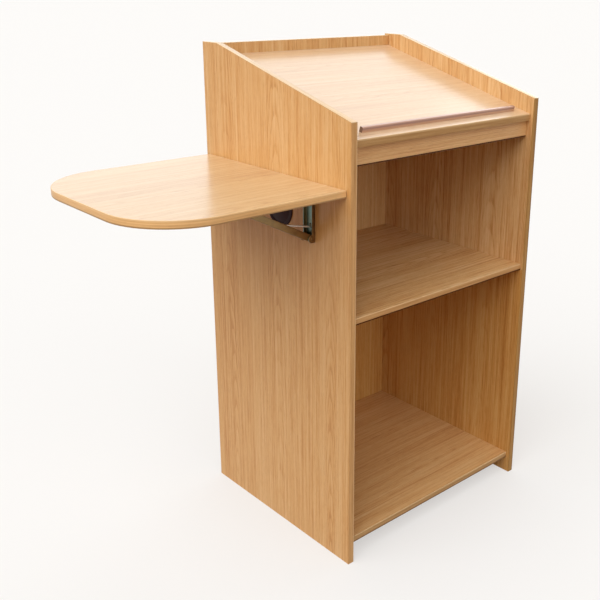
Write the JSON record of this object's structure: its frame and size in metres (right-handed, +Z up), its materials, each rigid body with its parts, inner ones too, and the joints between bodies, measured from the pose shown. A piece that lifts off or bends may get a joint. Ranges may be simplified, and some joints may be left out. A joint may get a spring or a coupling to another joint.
{
  "type": "presentation lectern",
  "caption": "Floor-standing lectern in oak-faced board with a sloping desk, open shelves and a rounded side flap that folds down on steel brackets.",
  "frame": {"origin": "on the floor, at the middle of the whole object's box with the side flap open level", "axes": "+Z up; +X to the right of someone facing the open shelves; +Y from the open front to the closed back; the flap stands out to -X"},
  "size_m": [1.058, 0.522, 1.15],
  "materials": {
    "oak_board": "oak-effect melamine face, semi-gloss",
    "oak_edging": "oak-effect edge band, satin",
    "stop_wood": "rounded bead, satin",
    "dowel_beech": "raw beech",
    "zinc_steel": "bright zinc plate",
    "grommet_plastic": "fine moulded satin, dark brown"
  },
  "bodies": {
    "carcass": {"left_side_panel": "oak_board", "right_side_panel": "oak_board", "back_panel": "oak_board", "desk_board": "oak_board", "fascia_rail": "oak_board", "middle_shelf": "oak_board", "bottom_shelf": "oak_board", "paper_stop": "stop_wood", "left_top_band": "oak_edging", "left_front_band": "oak_edging", "left_rear_band": "oak_edging", "right_top_band": "oak_edging", "right_front_band": "oak_edging", "right_rear_band": "oak_edging", "back_top_band": "oak_edging", "desk_front_band": "oak_edging", "middle_shelf_front_band": "oak_edging", "bottom_shelf_front_band": "oak_edging", "grommet_ring": "grommet_plastic", "middle_shelf_left_dowel_1": "dowel_beech", "middle_shelf_left_dowel_2": "dowel_beech", "middle_shelf_right_dowel_1": "dowel_beech", "middle_shelf_right_dowel_2": "dowel_beech", "bottom_shelf_left_dowel_1": "dowel_beech", "bottom_shelf_left_dowel_2": "dowel_beech", "bottom_shelf_right_dowel_1": "dowel_beech", "bottom_shelf_right_dowel_2": "dowel_beech", "desk_board_left_dowel_1": "dowel_beech", "desk_board_right_dowel_1": "dowel_beech", "front_wall_leg": "zinc_steel", "front_hinge_pin": "zinc_steel", "front_strut_pin": "zinc_steel", "front_wall_leg_screw_1": "zinc_steel", "front_wall_leg_screw_2": "zinc_steel", "rear_wall_leg": "zinc_steel", "rear_hinge_pin": "zinc_steel", "rear_strut_pin": "zinc_steel", "rear_wall_leg_screw_1": "zinc_steel", "rear_wall_leg_screw_2": "zinc_steel"},
    "flap": {"flap_board": "oak_board", "flap_edge_band": "oak_edging", "front_shelf_leg": "zinc_steel", "front_shelf_leg_screw_1": "zinc_steel", "front_shelf_leg_screw_2": "zinc_steel", "front_shelf_leg_screw_3": "zinc_steel", "rear_shelf_leg": "zinc_steel", "rear_shelf_leg_screw_1": "zinc_steel", "rear_shelf_leg_screw_2": "zinc_steel", "rear_shelf_leg_screw_3": "zinc_steel"},
    "grommet_cap": {"grommet_cap": "grommet_plastic"},
    "front_strut": {"front_strut": "zinc_steel", "front_slide_pin": "zinc_steel", "front_rod_pin": "zinc_steel"},
    "front_release_rod": {"front_release_rod": "zinc_steel"},
    "rear_strut": {"rear_strut": "zinc_steel", "rear_slide_pin": "zinc_steel", "rear_rod_pin": "zinc_steel"},
    "rear_release_rod": {"rear_release_rod": "zinc_steel"}
  },
  "joints": [
    {"name": "flap_fold", "type": "hinge", "parent": "carcass", "child": "flap", "pos_m": [-0.0895, 0, 0.857], "axis": [0, -1, 0], "range_deg": [0, 90]},
    {"name": "grommet_cap_turn", "type": "hinge", "parent": "carcass", "child": "grommet_cap", "pos_m": [-0.0805, -0.0255, 0.809], "axis": [-1, 0, 0], "continuous": true},
    {"name": "front_strut_swing", "type": "hinge", "parent": "carcass", "child": "front_strut", "pos_m": [-0.0895, -0.134, 0.7635], "axis": [0, -1, 0], "range_deg": [0, 117.6]},
    {"name": "front_rod_close", "type": "hinge", "parent": "front_strut", "child": "front_release_rod", "pos_m": [-0.17814, -0.134, 0.8098], "axis": [0, -1, 0], "range_deg": [-14.9, 0]},
    {"name": "rear_strut_swing", "type": "hinge", "parent": "carcass", "child": "rear_strut", "pos_m": [-0.0895, 0.134, 0.7635], "axis": [0, -1, 0], "range_deg": [0, 117.6]},
    {"name": "rear_rod_close", "type": "hinge", "parent": "rear_strut", "child": "rear_release_rod", "pos_m": [-0.17814, 0.134, 0.8098], "axis": [0, -1, 0], "range_deg": [-14.9, 0]}
  ],
  "couplings": [
    {"joint": "front_strut_swing", "follows": "flap_fold", "ratio": 1.3064},
    {"joint": "front_rod_close", "follows": "flap_fold", "ratio": -0.16526},
    {"joint": "rear_strut_swing", "follows": "flap_fold", "ratio": 1.3064},
    {"joint": "rear_rod_close", "follows": "flap_fold", "ratio": -0.16526}
  ]
}
